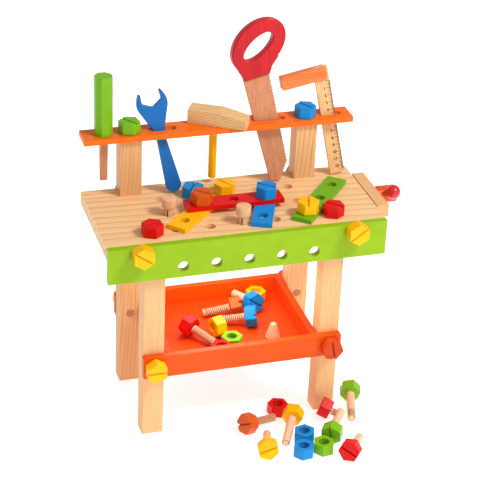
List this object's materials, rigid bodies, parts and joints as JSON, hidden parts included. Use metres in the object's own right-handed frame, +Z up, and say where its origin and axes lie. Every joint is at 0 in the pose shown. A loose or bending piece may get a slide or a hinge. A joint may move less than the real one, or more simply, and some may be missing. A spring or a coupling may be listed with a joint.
{
  "type": "toy workbench",
  "caption": "Wooden toy workbench with tool rack, end vice, parts tray, hand tools, perforated strips, nails, and slotted hex bolts and nuts.",
  "frame": {"origin": "bottom centre of the whole set's box, on the surface that the bench stands on", "axes": "+Z up, +X to the right seen from the front (towards the vice), +Y to the back"},
  "size_m": [0.4056, 0.306, 0.5],
  "materials": {
    "pine": "clear satin lacquer over pine",
    "beech": "bare sanded beech",
    "paint_green": "satin green paint on wood",
    "paint_orange": "satin orange paint on wood",
    "paint_yellow": "satin yellow paint on wood",
    "paint_red": "satin red paint on wood",
    "paint_blue": "satin blue paint on wood",
    "stain_red": "red stain with grain showing",
    "gloss_red": "glossy red lacquer",
    "paint_leaf": "satin mid-green paint on wood"
  },
  "bodies": {
    "bench": {"worktop": "pine", "front_apron": "paint_green", "left_front_leg": "pine", "right_front_leg": "pine", "left_rear_post": "pine", "right_rear_post": "pine", "tool_rack": "paint_orange", "front_rail": "paint_orange", "rear_rail": "paint_orange", "tray_left_wall": "paint_orange", "tray_right_wall": "paint_orange", "tray_bottom": "paint_orange"},
    "vice_jaw": {"vice_jaw": "pine", "vice_guide_pins": "beech"},
    "vice_screw": {"vice_spindle": "beech", "vice_knob": "paint_orange", "vice_bar": "beech", "vice_balls": "gloss_red"},
    "screwdriver": {"screwdriver_handle": "paint_leaf", "screwdriver_blade": "beech"},
    "wrench": {"wrench": "paint_blue"},
    "saw": {"saw_handle": "stain_red", "saw_blade": "beech"},
    "square": {"square_stock": "paint_orange", "square_rule": "beech"},
    "hammer": {"hammer_head": "pine", "hammer_handle": "paint_yellow"},
    "yellow_strip": {"yellow_strip": "paint_yellow"},
    "blue_strip": {"blue_strip": "paint_blue"},
    "green_strip": {"green_strip": "paint_leaf"},
    "red_strip": {"red_strip": "paint_red"},
    "nail_left": {"nail_left": "beech"},
    "nail_right": {"nail_right": "beech"},
    "strip_bolt_yellow": {"strip_bolt_yellow": "paint_yellow"},
    "loose_bolt_blue": {"loose_bolt_blue": "paint_blue"},
    "loose_bolt_yellow": {"loose_bolt_yellow": "paint_yellow"},
    "strip_bolt_orange": {"strip_bolt_orange": "paint_orange"},
    "strip_bolt_blue": {"strip_bolt_blue": "paint_blue"},
    "apron_bolt_left": {"apron_bolt_left": "paint_yellow"},
    "front_rail_bolt_left": {"front_rail_bolt_left": "paint_yellow"},
    "rear_rail_bolt_left": {"rear_rail_bolt_left": "paint_yellow"},
    "post_bolt_left": {"post_bolt_left": "paint_blue"},
    "rack_bolt_left": {"rack_bolt_left": "paint_leaf"},
    "worktop_bolt_left": {"worktop_bolt_left": "paint_red"},
    "apron_bolt_right": {"apron_bolt_right": "paint_yellow"},
    "front_rail_bolt_right": {"front_rail_bolt_right": "paint_orange"},
    "rear_rail_bolt_right": {"rear_rail_bolt_right": "paint_orange"},
    "post_bolt_right": {"post_bolt_right": "paint_blue"},
    "rack_bolt_right": {"rack_bolt_right": "paint_blue"},
    "worktop_bolt_right": {"worktop_bolt_right": "paint_red"},
    "tray_pieces": {"tray_bolts": "paint_red", "tray_nuts": "paint_red", "tray_nail": "beech"},
    "floor_pieces": {"floor_short_bolts": "paint_red", "floor_long_bolts": "paint_red", "floor_nuts": "paint_red"}
  },
  "joints": [
    {"name": "vice_jaw_slide", "type": "slide", "parent": "bench", "child": "vice_jaw", "axis": [1, 0, 0], "range_m": [0, 0.03]},
    {"name": "vice_screw_turn", "type": "hinge", "parent": "vice_jaw", "child": "vice_screw", "pos_m": [0.15945, 0.05688, 0.2723], "axis": [1, 0, 0], "range_deg": [0, 1800]},
    {"name": "screwdriver_lift", "type": "slide", "parent": "bench", "child": "screwdriver", "axis": [0, 0, 1], "range_m": [0, 0.08]},
    {"name": "wrench_lift", "type": "slide", "parent": "bench", "child": "wrench", "axis": [-0.2215, 0.1834, 0.9577], "range_m": [0, 0.1]},
    {"name": "saw_lift", "type": "slide", "parent": "bench", "child": "saw", "axis": [-0.2198, 0.1417, 0.9652], "range_m": [0, 0.1]},
    {"name": "square_lift", "type": "slide", "parent": "bench", "child": "square", "axis": [-0.184, 0.1109, 0.9767], "range_m": [0, 0.02]},
    {"name": "hammer_lift", "type": "slide", "parent": "bench", "child": "hammer", "axis": [0, 0, 1], "range_m": [0, 0.045]},
    {"name": "red_strip_lift", "type": "slide", "parent": "bench", "child": "red_strip", "axis": [0, 0, 1], "range_m": [0, 0.03]},
    {"name": "nail_left_lift", "type": "slide", "parent": "bench", "child": "nail_left", "axis": [0, 0, 1], "range_m": [0, 0.03]},
    {"name": "nail_right_lift", "type": "slide", "parent": "bench", "child": "nail_right", "axis": [0, 0, 1], "range_m": [0, 0.03]},
    {"name": "strip_bolt_yellow_lift", "type": "slide", "parent": "bench", "child": "strip_bolt_yellow", "axis": [0, 0, 1], "range_m": [0, 0.05]},
    {"name": "loose_bolt_blue_lift", "type": "slide", "parent": "bench", "child": "loose_bolt_blue", "axis": [0, 0, 1], "range_m": [0, 0.05]},
    {"name": "loose_bolt_yellow_lift", "type": "slide", "parent": "bench", "child": "loose_bolt_yellow", "axis": [0, 0, 1], "range_m": [0, 0.05]},
    {"name": "strip_bolt_orange_lift", "type": "slide", "parent": "red_strip", "child": "strip_bolt_orange", "axis": [0, 0, 1], "range_m": [0, 0.05]},
    {"name": "strip_bolt_blue_lift", "type": "slide", "parent": "red_strip", "child": "strip_bolt_blue", "axis": [0, 0, 1], "range_m": [0, 0.05]},
    {"name": "apron_bolt_left_turn", "type": "hinge", "parent": "bench", "child": "apron_bolt_left", "pos_m": [-0.16015, -0.03112, 0.2735], "axis": [0, -1, 0], "continuous": true},
    {"name": "front_rail_bolt_left_turn", "type": "hinge", "parent": "bench", "child": "front_rail_bolt_left", "pos_m": [-0.14155, -0.03112, 0.106], "axis": [0, -1, 0], "continuous": true},
    {"name": "rear_rail_bolt_left_turn", "type": "hinge", "parent": "bench", "child": "rear_rail_bolt_left", "pos_m": [-0.14155, 0.12888, 0.106], "axis": [0, 1, 0], "continuous": true},
    {"name": "post_bolt_left_turn", "type": "hinge", "parent": "bench", "child": "post_bolt_left", "pos_m": [-0.14155, 0.12888, 0.2735], "axis": [0, 1, 0], "continuous": true},
    {"name": "rack_bolt_left_turn", "type": "hinge", "parent": "bench", "child": "rack_bolt_left", "pos_m": [-0.14155, 0.11689, 0.36], "axis": [0, 0, 1], "continuous": true},
    {"name": "worktop_bolt_left_turn", "type": "hinge", "parent": "bench", "child": "worktop_bolt_left", "pos_m": [-0.13975, -0.00052, 0.282], "axis": [0, 0, 1], "continuous": true},
    {"name": "apron_bolt_right_turn", "type": "hinge", "parent": "bench", "child": "apron_bolt_right", "pos_m": [0.11585, -0.03112, 0.2735], "axis": [0, -1, 0], "continuous": true},
    {"name": "front_rail_bolt_right_turn", "type": "hinge", "parent": "bench", "child": "front_rail_bolt_right", "pos_m": [0.09245, -0.03112, 0.106], "axis": [0, -1, 0], "continuous": true},
    {"name": "rear_rail_bolt_right_turn", "type": "hinge", "parent": "bench", "child": "rear_rail_bolt_right", "pos_m": [0.09245, 0.12888, 0.106], "axis": [0, 1, 0], "continuous": true},
    {"name": "post_bolt_right_turn", "type": "hinge", "parent": "bench", "child": "post_bolt_right", "pos_m": [0.09245, 0.12888, 0.2735], "axis": [0, 1, 0], "continuous": true},
    {"name": "rack_bolt_right_turn", "type": "hinge", "parent": "bench", "child": "rack_bolt_right", "pos_m": [0.09245, 0.11689, 0.36], "axis": [0, 0, 1], "continuous": true},
    {"name": "worktop_bolt_right_turn", "type": "hinge", "parent": "bench", "child": "worktop_bolt_right", "pos_m": [0.09545, -0.00052, 0.282], "axis": [0, 0, 1], "continuous": true},
    {"name": "yellow_strip_swing", "type": "hinge", "parent": "bench", "child": "yellow_strip", "pos_m": [-0.06465, 0.04539, 0.282], "axis": [0, 0, 1], "range_deg": [-12, 40]},
    {"name": "blue_strip_swing", "type": "hinge", "parent": "bench", "child": "blue_strip", "pos_m": [0.02035, 0.04539, 0.282], "axis": [0, 0, 1], "range_deg": [-3, 20]},
    {"name": "green_strip_swing", "type": "hinge", "parent": "bench", "child": "green_strip", "pos_m": [0.06285, 0.00388, 0.282], "axis": [0, 0, 1], "range_deg": [0, 12]},
    {"name": "tray_pieces_lift", "type": "slide", "parent": "bench", "child": "tray_pieces", "axis": [0, 0, 1], "range_m": [0, 0.05]},
    {"name": "floor_pieces_lift", "type": "slide", "parent": "bench", "child": "floor_pieces", "axis": [0, 0, 1], "range_m": [0, 0.05]}
  ],
  "couplings": [
    {"joint": "vice_screw_turn", "follows": "vice_jaw_slide", "rad_per_m": 1047.2}
  ]
}
